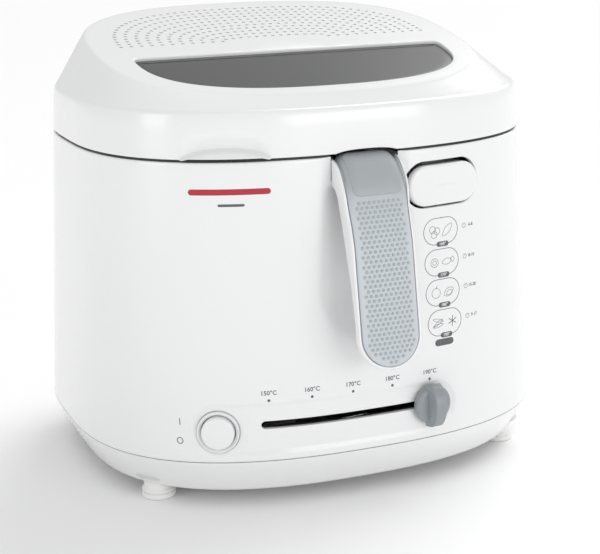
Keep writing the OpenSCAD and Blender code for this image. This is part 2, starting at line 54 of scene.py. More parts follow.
CENTRE_Y = 20.6
LID_Z = 207.6
BASE_Z = 31.8
COVER_Z = 9.4
COVER_INSET = 12.8
HALF_W, FRONT, REAR = 142, 138.2, 121.7
SIDE_FLARE, FRONT_FLARE = 0.058, 0.027
SIDE_POWER, END_POWER = 2.464, 2.987
WALL = 2.6
TOP_Z, TOP_SLOPE = 261.4, 0.209
TOP_HALF, TOP_FRONT, TOP_REAR = 121.6, 105.8, 89.3
TOP_SIDE_POWER, TOP_END_POWER = 2.66, 2.59
SHOULDER_Z = 235
PIVOT = Vector((0, -135.5 + CENTRE_Y, 183))
LEAN = math.radians(9.2)
HEAD_R = 20.5
HANDLE_HALF, GRIP_HALF = 19.5, 17.5
GRIP_LEN = 99
GRIP_END = GRIP_LEN - 2.2
HEAD_ANGLE = math.radians(98)
SLIDE_AXIS = Vector((2.5, 209.3 + CENTRE_Y, 53.4))
SLIDE_R = 352
KNOB_ANGLE = math.radians(5.9)
POWER_AT, POWER_ANGLE = Vector((-91, -126.9 + CENTRE_Y, 50.3)), math.radians(-25)
RELEASE_AT, RELEASE_ANGLE = Vector((50.5, -134.6 + CENTRE_Y, 185)), math.radians(10.4)
BOWL_HALF, BOWL_FRONT, BOWL_REAR = 118, 98, 95
BASKET_INSET, BASKET_RIM, BASKET_FLOOR = 7, 165, 98
COLLAR_Z = 205.6
HOLLOW_R, HOLLOW_DEPTH, HOLLOW_BOTTOM = 58, 8.5, 131
LID_EDGE = 0.9

# ---- Materials ----


def material(name, colour, rough, rough_spread=0.04, grain=900, grain_depth=0.02, tint=0.02,
             stretch=(1, 1, 1), height_shade=None, **sockets):
    """Principled material with fine colour and roughness variation and a small surface relief (mm)."""
    mat = bpy.data.materials.new(name)
    mat.use_nodes = True
    nodes, links = mat.node_tree.nodes, mat.node_tree.links
    shader = nodes["Principled BSDF"]
    for socket, value in sockets.items():
        shader.inputs[socket.replace("_", " ")].default_value = value
    place = nodes.new("ShaderNodeTexCoord")
    scale = nodes.new("ShaderNodeMapping")
    scale.inputs["Scale"].default_value = stretch
    links.new(place.outputs["Object"], scale.inputs["Vector"])
    fine, broad = [nodes.new("ShaderNodeTexNoise") for _ in range(2)]
    for noise, size, detail in ((fine, grain, 3), (broad, 14, 2)):
        noise.inputs["Scale"].default_value = size
        noise.inputs["Detail"].default_value = detail
        links.new(scale.outputs["Vector"], noise.inputs["Vector"])
    shade = nodes.new("ShaderNodeMix")
    shade.data_type = "RGBA"
    shade.inputs["A"].default_value = [c * (1 - tint) for c in colour[:3]] + [1]
    shade.inputs["B"].default_value = [min(1, c * (1 + tint)) for c in colour[:3]] + [1]
    links.new(broad.outputs["Fac"], shade.inputs["Factor"])
    links.new(shade.outputs["Result"], shader.inputs["Base Color"])
    # Painted shade: the colour turns into a darker one with height.
    if height_shade:
        paint_height_shade(nodes, links, place, shade, shader, height_shade)
    gloss = nodes.new("ShaderNodeMapRange")
    gloss.inputs["To Min"].default_value = max(0.02, rough - rough_spread)
    gloss.inputs["To Max"].default_value = rough + rough_spread
    links.new(fine.outputs["Fac"], gloss.inputs["Value"])
    links.new(gloss.outputs["Result"], shader.inputs["Roughness"])
    relief = nodes.new("ShaderNodeBump")
    relief.inputs["Strength"].default_value = 0.6
    relief.inputs["Distance"].default_value = grain_depth * MM
    links.new(fine.outputs["Fac"], relief.inputs["Height"])
    links.new(relief.outputs["Normal"], shader.inputs["Normal"])
    return mat


def paint_height_shade(nodes, links, place, shade, shader, height_shade):
    """Paints shade by height: turns the colour into the third entry's colour between the heights in the
    first two entries, in metres.
    """
    split = nodes.new("ShaderNodeSeparateXYZ")
    links.new(place.outputs["Object"], split.inputs["Vector"])
    height = nodes.new("ShaderNodeMapRange")
    height.interpolation_type = "SMOOTHSTEP"
    height.inputs["From Min"].default_value = height_shade[0]
    height.inputs["From Max"].default_value = height_shade[1]
    links.new(split.outputs["Z"], height.inputs["Value"])
    mix = nodes.new("ShaderNodeMix")
    mix.data_type = "RGBA"
    mix.inputs["B"].default_value = [*height_shade[2], 1]
    links.new(height.outputs["Result"], mix.inputs["Factor"])
    links.new(shade.outputs["Result"], mix.inputs["A"])
    links.new(mix.outputs["Result"], shader.inputs["Base Color"])


GRIP_GREY = (0.53, 0.57, 0.60)


def metal(name, colour, rough, stretch, grain=260):
    return material(name, colour, rough, 0.07, grain, 0.012, 0.05, stretch, Metallic=1.0)


def white_gloss():
    return material("white_gloss", (0.80, 0.803, 0.808), 0.22, 0.04, 700, 0.012, 0.006,
                    Coat_Weight=0.35, Coat_Roughness=0.12, IOR=1.5)


def grey_grip():
    return material("grey_grip", GRIP_GREY, 0.42, 0.06, 2600, 0.03, 0.015, IOR=1.46)


def grey_knob():
    return material("grey_knob", (0.27, 0.295, 0.31), 0.30, 0.05, 1500, 0.02, 0.02, IOR=1.48)


def black_plastic():
    return material("black_plastic", (0.010, 0.010, 0.011), 0.5, 0.08, 1200, 0.05, 0.2)


def dark_plastic():
    return material("dark_plastic", (0.07, 0.07, 0.075), 0.45, 0.08, 1400, 0.05, 0.1)


def cream_plastic():
    return material("cream_plastic", (0.72, 0.69, 0.60), 0.45, 0.06, 900, 0.04, 0.04)


def smoked_glass():
    return material("smoked_glass", (0.048, 0.049, 0.051), 0.25, 0.01, 300, 0.001, 0.01, IOR=1.3)


def rubber_grey():
    return material("rubber_grey", (0.09, 0.09, 0.095), 0.65, 0.08, 1100, 0.06, 0.1)


def foot_white():
    return material("foot_white", (0.80, 0.80, 0.79), 0.5, 0.06, 1100, 0.03, 0.02)


def steel():
    return metal("steel", (0.56, 0.56, 0.57), 0.30, (1, 12, 1))


def chromed():
    return metal("chromed", (0.72, 0.72, 0.73), 0.12, (1, 1, 1), 900)


def nonstick():
    return material("nonstick", (0.045, 0.045, 0.048), 0.38, 0.1, 1900, 0.05, 0.25, Metallic=0.35)


def element_steel():
    return metal("element_steel", (0.16, 0.15, 0.14), 0.5, (1, 1, 1), 500)


def insert_grey_painted_shade():
    """The grip's grey, which turns darker towards the head: painted shade for the head's faces that tilt up
    and back.
    """
    return material("insert_grey_painted_shade", GRIP_GREY, 0.42, 0.06, 2600, 0.03, 0.015,
                    height_shade=(0.170, 0.198, (0.38, 0.405, 0.42)), IOR=1.46)


# A darker copy of the grip's grey: painted shade over the handle's head, where the thumb panel lies.
def thumb_grey_painted_shade():
    return material("thumb_grey_painted_shade", (0.36, 0.385, 0.40), 0.38, 0.05, 2600, 0.02, 0.015, IOR=1.46)


# A darker copy of the grip's grey: painted shade, which gives the small domes the contrast of their
# shadows.
def bump_grey_painted_shade():
    return material("bump_grey_painted_shade", (0.40, 0.435, 0.46), 0.38, 0.05, 2600, 0.02, 0.015, IOR=1.46)


def print_dark():
    return material("print_dark", (0.10, 0.105, 0.115), 0.4, 0.05, 1500, 0.01, 0.05)


def print_red():
    return material("print_red", (0.42, 0.02, 0.045), 0.35, 0.05, 1500, 0.01, 0.05)


def floor_paint():
    return material("floor_paint", (0.94, 0.94, 0.94), 0.8, 0.05, 120, 0.02, 0.004)


MATERIALS = {make.__name__: make() for make in (
    white_gloss, grey_grip, grey_knob, black_plastic, dark_plastic, cream_plastic, smoked_glass,
    rubber_grey, foot_white, steel, chromed, nonstick, element_steel, insert_grey_painted_shade, thumb_grey_painted_shade,
    bump_grey_painted_shade, print_dark, print_red, floor_paint)}

# ---- Mesh helpers ----


def linked(name, data):
    obj = bpy.data.objects.new(name, data)
    bpy.context.scene.collection.objects.link(obj)
    return obj


def fill_mesh(mesh, verts, faces):
    """Puts in points given in mm."""
    points = [tuple(v) for v in np.asarray(verts) * MM]
    mesh.from_pydata(points, [], [tuple(int(i) for i in f) for f in faces])


def add(name, verts, faces, slot=None, body=SHELL, replaces=(), sharp=32, paint=None):
    """A mesh piece riding on a body, smooth apart from its sharp edges; paint is for no slot's material."""
    mesh = bpy.data.meshes.new(name)
    fill_mesh(mesh, verts, faces)
    return dress(linked(name, mesh), slot, body, replaces, sharp, paint)


def dress(obj, slot, body, replaces=(), sharp=32, paint=None):
    tidy = bmesh.new()
    tidy.from_mesh(obj.data)
    bmesh.ops.remove_doubles(tidy, verts=tidy.verts, dist=1e-7)
    bmesh.ops.dissolve_degenerate(tidy, edges=tidy.edges, dist=1e-7)
    bmesh.ops.recalc_face_normals(tidy, faces=tidy.faces)
    tidy.to_mesh(obj.data)
    tidy.free()
    obj.data.shade_smooth()
    obj.data.set_sharp_from_angle(angle=math.radians(sharp))
    obj.data.materials.clear()
    obj.data.materials.append(MATERIALS[paint or slot])
    if body:
        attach(obj, body)
    if replaces:
        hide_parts(*replaces)
    return obj


def loft_faces(rings, count, loop=False):
    """Quads between rings of count points; loop joins the last ring to the first."""
    faces = []
    for k in range(rings if loop else rings - 1):
        low, high = k * count, (k + 1) % rings * count
        for i in range(count):
            j = (i + 1) % count
            faces.append((low + i, low + j, high + j, high + i))
    if not loop:
        faces.append(tuple(range(count - 1, -1, -1)))
        faces.append(tuple((rings - 1) * count + i for i in range(count)))
    return faces


def loft(name, rings, slot, body, replaces=(), loop=False, sharp=32):
    count = len(rings[0])
    faces = loft_faces(len(rings), count, loop)
    return add(name, np.concatenate(rings), faces, slot, body, replaces, sharp)


def cut(obj, cutters):
    """Takes the cutters out of obj and deletes them."""
    for cutter in cutters:
        modifier = obj.modifiers.new("cut", "BOOLEAN")
        modifier.operation = "DIFFERENCE"
        modifier.solver = "MANIFOLD"
        modifier.object = cutter
    bpy.context.view_layer.update()
    graph = bpy.context.evaluated_depsgraph_get()
    mesh = bpy.data.meshes.new_from_object(obj.evaluated_get(graph))
    obj.modifiers.clear()
    obj.data = mesh
    for cutter in cutters:
        bpy.data.objects.remove(cutter)
    return obj


def cutter(verts, faces):
    mesh = bpy.data.meshes.new("cutter")
    fill_mesh(mesh, verts, faces)
    shape = bmesh.new()
    shape.from_mesh(mesh)
    bmesh.ops.recalc_face_normals(shape, faces=shape.faces)
    shape.to_mesh(mesh)
    shape.free()
    return linked("cutter", mesh)


def box_cutter(half, depths, heights, middle=CENTRE_Y):
    """A box 2 half wide about x = 0, between two depths from the middle and two heights."""
    x, y, z = (-half, half), [d + middle for d in depths], heights
    verts = [(x[i], y[j], z[k]) for k in (0, 1) for j in (0, 1) for i in (0, 1)]
    faces = [(0, 1, 3, 2), (4, 6, 7, 5), (0, 4, 5, 1), (2, 3, 7, 6), (0, 2, 6, 4), (1, 5, 7, 3)]
    return cutter(verts, faces)


def ring_cutter(rings):
    return cutter(np.concatenate(rings), loft_faces(len(rings), len(rings[0])))


def lathe(name, profile, slot, body, place, replaces=(), segments=96, sharp=32, closed=False):
    """Turns a profile of (radius, height) about the local Z of place."""
    turn = full_turn(segments)
    flat = np.stack([np.cos(turn), np.sin(turn), 0 * turn], 1)
    rings = [moved(r * flat + [0, 0, h], place) for r, h in profile]
    return loft(name, rings, slot, body, replaces, closed, sharp)


def moved(points, place):
    matrix = np.array(place)
    return np.asarray(points) @ matrix[:3, :3].T + matrix[:3, 3]


def facing(at, angle):
    """Local X along the front, Y up, Z out of the front, turned about +Z by angle."""
    out = Vector((math.sin(angle), -math.cos(angle), 0))
    side = Vector((math.cos(angle), math.sin(angle), 0))
    turned = Matrix((side, Vector((0, 0, 1)), out)).transposed().to_4x4()
    return Matrix.Translation(at) @ turned


def full_turn(count):
    return np.linspace(0, 2 * math.pi, count, endpoint=False)


def circle(r, centre=(0, 0), count=40):
    turn = full_turn(count)
    return np.stack([centre[0] + r * np.cos(turn), centre[1] + r * np.sin(turn)], 1)


def running(x, y, weight=1):
    """Length along a line of points, from its start."""
    return np.concatenate([[0], np.cumsum(np.hypot(np.diff(x), np.diff(y)) * weight)])


def smooth(low, high, value):
    t = np.clip((value - low) / (high - low), 0, 1)
    return t * t * (3 - 2 * t)


# ---- Outlines ----


def signed_pow(v, p):
    return np.sign(v) * np.abs(v) ** p


def oval(turn, half, front, rear, n=SIDE_POWER, m=END_POWER):
    c, s = np.cos(turn), np.sin(turn)
    return half * signed_pow(c, 2 / n), np.where(s < 0, front, rear) * signed_pow(s, 2 / m)


def even_turns(count, half, front, rear, dense=1):
    """Parameters of the oval with even steps along it, dense times closer over the front."""
    turn = np.linspace(0, 2 * math.pi, 40001)
    x, y = oval(turn, half, front, rear)
    weight = np.where(y[1:] < -0.55 * front, dense, 1)
    run = running(x, y, weight)
    return np.interp(np.linspace(0, run[-1], count, endpoint=False), run, turn)


BODY_TURNS = even_turns(620, HALF_W, FRONT, REAR, 3)
BOWL_TURNS = even_turns(200, BOWL_HALF, BOWL_FRONT, BOWL_REAR)


def half_w(z):
    return HALF_W + SIDE_FLARE * (LID_Z - z)


def front_d(z):
    return FRONT + FRONT_FLARE * (LID_Z - z)


def rear_d(z):
    return REAR + FRONT_FLARE * (LID_Z - z)


def level(xy, z):
    """Points about the object's middle at the height z."""
    x, y = xy
    return np.stack([x, y + CENTRE_Y, np.full_like(x, z)], 1)


def body_ring(z, inset=0.0):
    return level(oval(BODY_TURNS, half_w(z) - inset, front_d(z) - inset, rear_d(z) - inset), z)


def bowl_ring(z, inset, turns=BOWL_TURNS):
    return level(oval(turns, BOWL_HALF - inset, BOWL_FRONT - inset, BOWL_REAR - inset), z)


def front_y(x, z):
    return -front_d(z) * (1 - (np.abs(x) / half_w(z)) ** SIDE_POWER) ** (1 / END_POWER)


def front_normal(x, z):
    """Outward direction of the front in plan, at x."""
    y = front_y(x, z)
    gx = SIDE_POWER * signed_pow(x, SIDE_POWER - 1) / half_w(z) ** SIDE_POWER
    gx = np.abs(gx) * np.sign(x)
    gy = -END_POWER * np.abs(y) ** (END_POWER - 1) / front_d(z) ** END_POWER
    size = np.hypot(gx, gy)
    return gx / size, gy / size


def on_front(x, z, depth):
    """Points at depth behind the front, which has no hollow or track in it here."""
    x, z = np.asarray(x, float), np.asarray(z, float)
    nx, ny = front_normal(x, z)
    return np.stack([x - nx * depth, front_y(x, z) - ny * depth + CENTRE_Y, z + 0 * x], -1)


ARC_X = np.linspace(-135, 135, 2001)
ARC_S = running(ARC_X, front_y(ARC_X, 50))
ARC_S -= np.interp(0, ARC_X, ARC_S)


def along(x):
    return np.interp(x, ARC_X, ARC_S)


def across(s):
    return np.interp(s, ARC_S, ARC_X)


TRACK_Z, TRACK_HALF, TRACK_DEPTH = 51.5, 14.5, 0.9
TRACK_LEFT, TRACK_RIGHT = -91, 42


def track_recess(x, z):
    """How far the flat track round the slot and the on/off button lies behind the front."""
    s = along(x)
    middle = np.clip(s, along(TRACK_LEFT), along(TRACK_RIGHT))
    away = np.hypot(s - middle, z - TRACK_Z) - TRACK_HALF
    return TRACK_DEPTH * smooth(1.1, -1.1, away)


def hollow_recess(x, y, z):
    """How far the finger hollow behind the grip lies behind the front at (x, y, z)."""
    axis = -front_d(150) + HOLLOW_DEPTH - HOLLOW_R
    below = np.minimum(z - HOLLOW_BOTTOM, 0)
    depth = axis + np.sqrt(np.maximum(HOLLOW_R ** 2 - x ** 2 - below ** 2, 0)) - y
    soft = 1.2
    return 0.5 * (depth + np.sqrt(depth ** 2 + soft ** 2)) * smooth(-6, -1, depth)


def shaped(ring):
    """Presses the hollow and the track into the front half of a body ring."""
    x, y, z = ring[:, 0], ring[:, 1] - CENTRE_Y, ring[:, 2]
    front = y < -0.3 * FRONT
    nx, ny = front_normal(np.clip(x, -140, 140), z)
    track = np.where(front, track_recess(x, z), 0)
    hollow = np.where(front, hollow_recess(x, y, z), 0)
    return np.stack([x - nx * track, ring[:, 1] - ny * track + hollow, z], 1)


def stadium(w, h, grow=0.0):
    """Outline of a stadium, counter-clockwise, grown by a distance, with points on its straights."""
    step = 1.6
    r, half = max(h / 2 + grow, 0.01), (w - h) / 2
    ends = max(12, int(math.pi * h / 2 / step))
    across_count = max(1, int(2 * half / step))
    turn = np.linspace(-math.pi / 2, math.pi / 2, ends)
    right = np.stack([half + r * np.cos(turn), r * np.sin(turn)], 1)
    top = np.linspace(half, -half, across_count + 1)[1:-1]
    right = np.concatenate([right, np.stack([top, np.full(len(top), r)], 1)])
    return np.concatenate([right, -right])


def front_hole(w, h, at, depth=0.0, fillet=0.7):
    """A stadium through the front about at = (x, z), from depth behind it, with a rounded edge."""
    through = 9
    rings = []
    steps = [(fillet, -3)]
    for i in range(7):
        t = math.radians(15 * i)
        steps.append((fillet * (1 - math.sin(t)), fillet * (1 - math.cos(t)) - 0.05))
    steps.append((0, through))
    for grow, behind in steps:
        points = stadium(w, h, grow)
        x = across(along(at[0]) + points[:, 0])
        rings.append(on_front(x, at[1] + points[:, 1], behind + depth))
    return ring_cutter(rings)


# ---- Body ----

RELEASE_SIZE = (53.4, 27.4)
SLOT_X = (-67.8, 44.8)
SLOT_H = 4.6
POWER_HOLE = 2 * 12.7
ARM_HALF, HINGE_HALF = 12.3, 47.5
NOTCH_HALF, NOTCH_FLOOR, NOTCH_CORNER = 20.95, 184, 11
GLAND_X, GLAND_Z, GLAND_R = -60, 48, 9.2
FOOT_X, FOOT_Y = 116, (-83.8, 68)
BODY_TOP = LID_Z - 0.6


def wall_rows(low, high):
    fine = np.arange(low, 70, 1.1)
    coarse = np.arange(70, high, 2.6)
    return np.concatenate([fine, coarse, [high]])


def body_skin():
    edge = 0.9
    rows = wall_rows(BASE_Z + 0.6, BODY_TOP - edge)
    outer = [body_ring(BASE_Z + 0.15, 0.5), body_ring(BASE_Z + 0.3, 0.15)]
    outer += [body_ring(z) for z in rows]
    outer += [body_ring(BODY_TOP - edge + edge * math.sin(t), edge * (1 - math.cos(t)))
              for t in np.radians([22.5, 45, 67.5, 90])]
    inner = [body_ring(BODY_TOP, WALL)] + [body_ring(z, WALL) for z in rows[::-2]]
    inner.append(body_ring(BASE_Z + 0.15, WALL))
    rings = [shaped(r) for r in outer + inner]
    skin = loft("body_skin", rings, "white_gloss", None, loop=True)
    holes = [
        front_hole(*RELEASE_SIZE, (RELEASE_AT.x - 0.7, RELEASE_AT.z + 0.7)),
        front_hole(POWER_HOLE, POWER_HOLE, (POWER_AT.x, POWER_AT.z), TRACK_DEPTH, fillet=0.9),
        front_hole(SLOT_X[1] - SLOT_X[0], SLOT_H, (sum(SLOT_X) / 2, SLIDE_AXIS.z), TRACK_DEPTH, fillet=0.5),
        notch_cutter(),
        box_cutter(ARM_HALF, (-150, -125), (172, 230)),
        box_cutter(HINGE_HALF, (100, 140), (188, 230)),
        gland_cutter(),
    ]
    cut(skin, holes)
    return dress(skin, "white_gloss", SHELL, ["body_shell"])


def notch_cutter():
    """Round-cornered notch for the handle's head in the top edge of the front."""
    turn = np.linspace(math.pi, 1.5 * math.pi, 13)
    left = np.stack([-NOTCH_HALF + NOTCH_CORNER + NOTCH_CORNER * np.cos(turn),
                     NOTCH_FLOOR + NOTCH_CORNER + NOTCH_CORNER * np.sin(turn)], 1)
    profile = np.concatenate([[[-NOTCH_HALF, 230]], left, left[::-1] * [-1, 1], [[NOTCH_HALF, 230]]])
    return ring_cutter([upright(profile, y) for y in (-150, -125)])


def upright(profile, y):
    """Points (x, z) of a profile at the depth y from the object's middle."""
    return np.stack([profile[:, 0], np.full(len(profile), y + CENTRE_Y), profile[:, 1]], 1)


def gland_cutter():
    hole = circle(GLAND_R, (GLAND_X, GLAND_Z))
    return ring_cutter([upright(hole, y) for y in (100, 140)])


def base_skin():
    def cover_ring(part, inset=0.0):
        z = BASE_Z + (COVER_Z - BASE_Z) * part
        return body_ring(z, inset + COVER_INSET * part ** 1.15)

    outer = [body_ring(BASE_Z - 0.12, 0.5), body_ring(BASE_Z - 0.3, 0.15)]
    outer += [cover_ring(p) for p in np.linspace(0.03, 0.93, 26)]
    last = cover_ring(1.0, 1.2)
    outer += [0.5 * (cover_ring(0.97, 0.2) + cover_ring(0.985, 0.5)), last]
    outer += [body_ring(COVER_Z, COVER_INSET + d) for d in (6, 40, 90, 130)]
    floor = COVER_Z + WALL
    inner = [body_ring(floor, COVER_INSET + d) for d in (130, 60, 8)]
    inner += [cover_ring(p, WALL) for p in (0.8, 0.55, 0.3, 0.05)]
    skin = loft("base_skin", inner + outer, "white_gloss", None)
    vents = [box_cutter(40, (14 * i - 3, 14 * i + 3), (0, 20)) for i in range(-3, 4)]
    cut(skin, vents)
    return dress(skin, "white_gloss", SHELL, ["base_cover"])


def feet():
    """A foot: a rubber-edged pad, a groove and a stem that spreads into the cover."""
    profile = [(0.1, 0), (8.8, 0), (9.6, 0.1), (10.1, 0.5), (10.3, 1.1), (10.3, 2.6), (10.1, 3.1),
               (9.5, 3.4), (9.2, 3.7), (9.5, 4.0), (10.0, 4.3), (10.2, 4.8), (10.0, 5.6), (9.4, 6.1),
               (8.9, 6.6), (8.7, 7.6), (8.8, 9.0), (9.2, 10.4), (10.2, 11.9), (11.8, 13.4), (13.5, 14.6),
               (0.1, 14.6)]
    spots = [(x, y) for y in FOOT_Y for x in (-FOOT_X, FOOT_X)]
    for i, (x, y) in enumerate(spots):
        place = Matrix.Translation((x, y + CENTRE_Y, 0))
        lathe(f"foot_{i + 1}", profile, "foot_white", SHELL, place, ["foot_pads"] if i == 0 else (), 72, 40)


# ---- Lid ----

LIP_X, LIP_HALF, LIP_RISE, LIP_OUT = -79.3, 24.0, 7.2, 4.6
LIP_EDGE, LIP_SCOOP = 1.4, 3.2


def shoulder_ring(out_mix, up_mix, inset=0.0):
    band = body_ring(SHOULDER_Z, inset)
    x, y = oval(BODY_TURNS, TOP_HALF - inset, TOP_FRONT - inset, TOP_REAR - inset,
                TOP_SIDE_POWER, TOP_END_POWER)
    rise = TOP_Z - inset + TOP_SLOPE * y - SHOULDER_Z
    flat = np.stack([x, y + CENTRE_Y, SHOULDER_Z + up_mix * rise], 1)
    ring = band + out_mix * (flat - band)
    ring[:, 2] = flat[:, 2]
    return ring


def top_ring(share, inset=0.0):
    x, y = oval(BODY_TURNS, TOP_HALF * share, TOP_FRONT * share, TOP_REAR * share,
                TOP_SIDE_POWER, TOP_END_POWER)
    return np.stack([x, y + CENTRE_Y, TOP_Z - inset + TOP_SLOPE * y], 1)


def soften(rings, rounds):
    """Cuts the corners between rings, so that the skin bends smoothly there."""
    for _ in range(rounds):
        cornered = [rings[0]]
        for a, b in zip(rings[:-1], rings[1:]):
            cornered += [0.75 * a + 0.25 * b, 0.25 * a + 0.75 * b]
        rings = cornered + [rings[-1]]
    return rings


def lipped(ring):
    """Draws a finger ledge out of the lid's lower edge at the front left, under an arched crease."""
    x, y, z = ring[:, 0], ring[:, 1] - CENTRE_Y, ring[:, 2]
    bow = 1 - ((x - LIP_X) / LIP_HALF) ** 2
    inside = smooth(0, 0.16, bow) * (y < -0.3 * FRONT)
    crease = LIP_EDGE + (LIP_RISE - LIP_EDGE) * np.clip(bow, 0, 1) ** 0.8
    under = crease - (z - LID_Z)
    ledge = LIP_OUT * np.clip(under / crease, 0, 1)
    scoop = LIP_SCOOP * smooth(-10, -0.2, under) * smooth(3, 0, under) * smooth(0, 0.7, bow)
    lift = 1.0 * smooth(0.15, 0.45, bow) * smooth(8, 0, z - LID_Z)
    nx, ny = front_normal(np.clip(x, -140, 140), z)
    grow = inside * (ledge - scoop)
    return np.stack([x + nx * grow, ring[:, 1] + ny * grow, z + inside * lift], 1)


def lid_skin():
    low = LID_Z + LID_EDGE
    edge = [body_ring(low + 0.6 * (1 - math.sin(t)), 0.6 * (1 - math.cos(t)))
            for t in np.radians([90, 60, 30])]
    rows = np.concatenate([np.arange(low + 0.6, 221, 0.45), [223]])
    band = edge + [body_ring(z) for z in rows]
    upper = [body_ring(223), body_ring(227), body_ring(231.5, 0.25),
             shoulder_ring(0.04, 0.02), shoulder_ring(0.17, 0.14), shoulder_ring(0.55, 0.56),
             shoulder_ring(0.90, 0.93), shoulder_ring(0.975, 0.992), top_ring(0.985), top_ring(0.94)]
    upper = soften(upper, 3)
    top = [top_ring(s) for s in (0.85, 0.6, 0.3, 0.02)]
    outer = [lipped(r) for r in band + upper[1:]] + top
    inner = [top_ring(s, WALL) for s in (0.02, 0.3, 0.6, 0.9)]
    inner += [shoulder_ring(1, 1, WALL), shoulder_ring(0.12, 0.05, WALL), body_ring(227, WALL),
              body_ring(216, WALL)]
    inner += [lipped(body_ring(z, WALL)) for z in [*np.arange(215, low, -0.8), low]]
    skin = loft("lid_skin", inner + outer, "white_gloss", None)
    hinge_gap = box_cutter(HINGE_HALF, (112, 140), (LID_Z - 1, LID_Z + 6))
    cut(skin, [window_cutter(), vents_cutter(), head_relief(), hinge_gap])
    even = skin.modifiers.new("even", "WEIGHTED_NORMAL")
    even.weight, even.keep_sharp = 90, True
    return dress(skin, "white_gloss", LID, ["lid_shell"])


def head_relief():
    """Shallow arch in the lid's lower edge, over the handle's head."""
    foot, rise, power = 206, 4.6, 2.5
    turn = np.linspace(0, math.pi, 25)
    x, z = oval(turn, NOTCH_HALF, 0, rise, power, power)
    arch = np.stack([x, foot + z], 1)
    return ring_cutter([upright(arch, y) for y in (-150, -126)])


TOP_PLACE = Matrix.Translation((0, CENTRE_Y, TOP_Z)) @ Matrix.Rotation(math.atan(TOP_SLOPE), 4, "X")
WINDOW_HALF, WINDOW_REAR, WINDOW_APEX = 102.5, -22, -93


def window_outline(grow):
    """D-shaped outline of the window: a straight rear edge and a bowed front one."""
    tilt = math.cos(math.atan(TOP_SLOPE))
    turn = np.linspace(math.pi, 2 * math.pi, 121)
    deep = (WINDOW_REAR - WINDOW_APEX) / tilt
    x, y = oval(turn, WINDOW_HALF, deep, deep, 2.5, 2.9)
    run = running(x, y)
    even = np.linspace(0, run[-1], 121)
    x, y = np.interp(even, run, x), np.interp(even, run, y)
    back = np.linspace(WINDOW_HALF, -WINDOW_HALF, 61)[1:-1]
    points = np.concatenate([np.stack([x, y], 1), np.stack([back, 0 * back], 1)])
    for _ in range(3):
        points = 0.5 * points + 0.25 * (np.roll(points, 1, 0) + np.roll(points, -1, 0))
    ahead, behind = np.roll(points, -1, 0), np.roll(points, 1, 0)
    run = (ahead - behind) / np.linalg.norm(ahead - behind, axis=1, keepdims=True)
    out = np.stack([run[:, 1], -run[:, 0]], 1)
    return points + out * grow + [0, WINDOW_REAR / tilt]


def top_points(flat, height):
    return moved(np.column_stack([flat, np.full(len(flat), height)]), TOP_PLACE)


def window_cutter():
    fillet = 1.0
    rings = [top_points(window_outline(fillet), 5)]
    for i in range(7):
        t = math.radians(15 * i)
        outline = window_outline(fillet * (1 - math.sin(t)))
        rings.append(top_points(outline, 0.05 - fillet * (1 - math.cos(t))))
    rings.append(top_points(window_outline(0), -8))
    return ring_cutter(rings)


VENT_RINGS, VENT_STEP, VENT_PITCH, VENT_R = 11, 6.65, 5.5, 1.4
VENT_HALF, VENT_REAR = 102.9, 73.3


def vents_cutter():
    """Concentric rows of small round holes over the rear of the top."""
    verts, faces = [], []
    for k in range(VENT_RINGS):
        half, rear = VENT_HALF - k * VENT_STEP, VENT_REAR - k * VENT_STEP
        t = np.linspace(0, math.pi, 4001)
        x, y = oval(t, half, rear, rear, TOP_SIDE_POWER, TOP_END_POWER)
        run = running(x, y)
        count = int(round(run[-1] / VENT_PITCH))
        spots = np.linspace(0, run[-1], count + 1)
        for px, py in zip(np.interp(spots, run, x), np.interp(spots, run, y)):
            hole = circle(VENT_R, (px, py + 1.5), 10)
            start = len(verts)
            verts += [*top_points(hole, -6), *top_points(hole, 4)]
            faces += [tuple(start + i for i in f) for f in loft_faces(2, 10)]
    return cutter(verts, faces)


def window_pane():
    """The recessed pane, which fills the opening from below."""
    profile = [(3, -6.5), (3, -2.8), (-0.1, -2.8), (-0.1, -2.2), (-0.25, -1.95), (-0.6, -1.85), (-6, -1.85)]
    rings = [top_points(window_outline(grow), height) for grow, height in profile]
    return loft("window_pane", rings, "smoked_glass", LID, ["lid_window"])


def joint_shadow_ring():
    """Dark ring just inside the lid's lower edge: painted shadow, a black band that stands in for the shade
    in the joint line.
    """
    corners = [(-0.7, 1.3), (2, 1.3), (2, 2.5), (-0.7, 2.5)]
    rings = [shaped(body_ring(LID_Z + height, inset)) for height, inset in corners]
    ring = loft("joint_shadow_ring", rings, "black_plastic", None, loop=True)
    cut(ring, [box_cutter(22.5, (-150, -100), (190, 230)), box_cutter(48, (90, 150), (190, 230))])
    return dress(ring, "black_plastic", LID)


# ---- Handle ----


def handle_point(x, s, r):
    """s runs down the straight part from the pivot's level, and negative s over the head."""
    s, r, x = np.broadcast_arrays(np.asarray(s, float), np.asarray(r, float), np.asarray(x, float))
    bend = np.maximum(-s, 0) / HEAD_R
    y = -r * np.cos(bend)
    z = np.where(s < 0, r * np.sin(bend), -s)
    return np.stack([x, PIVOT.y + y * math.cos(LEAN) + z * math.sin(LEAN),
                     PIVOT.z - y * math.sin(LEAN) + z * math.cos(LEAN)], -1)


HEAD_END = -HEAD_R * HEAD_ANGLE
HEAD_FLARE = 1.2


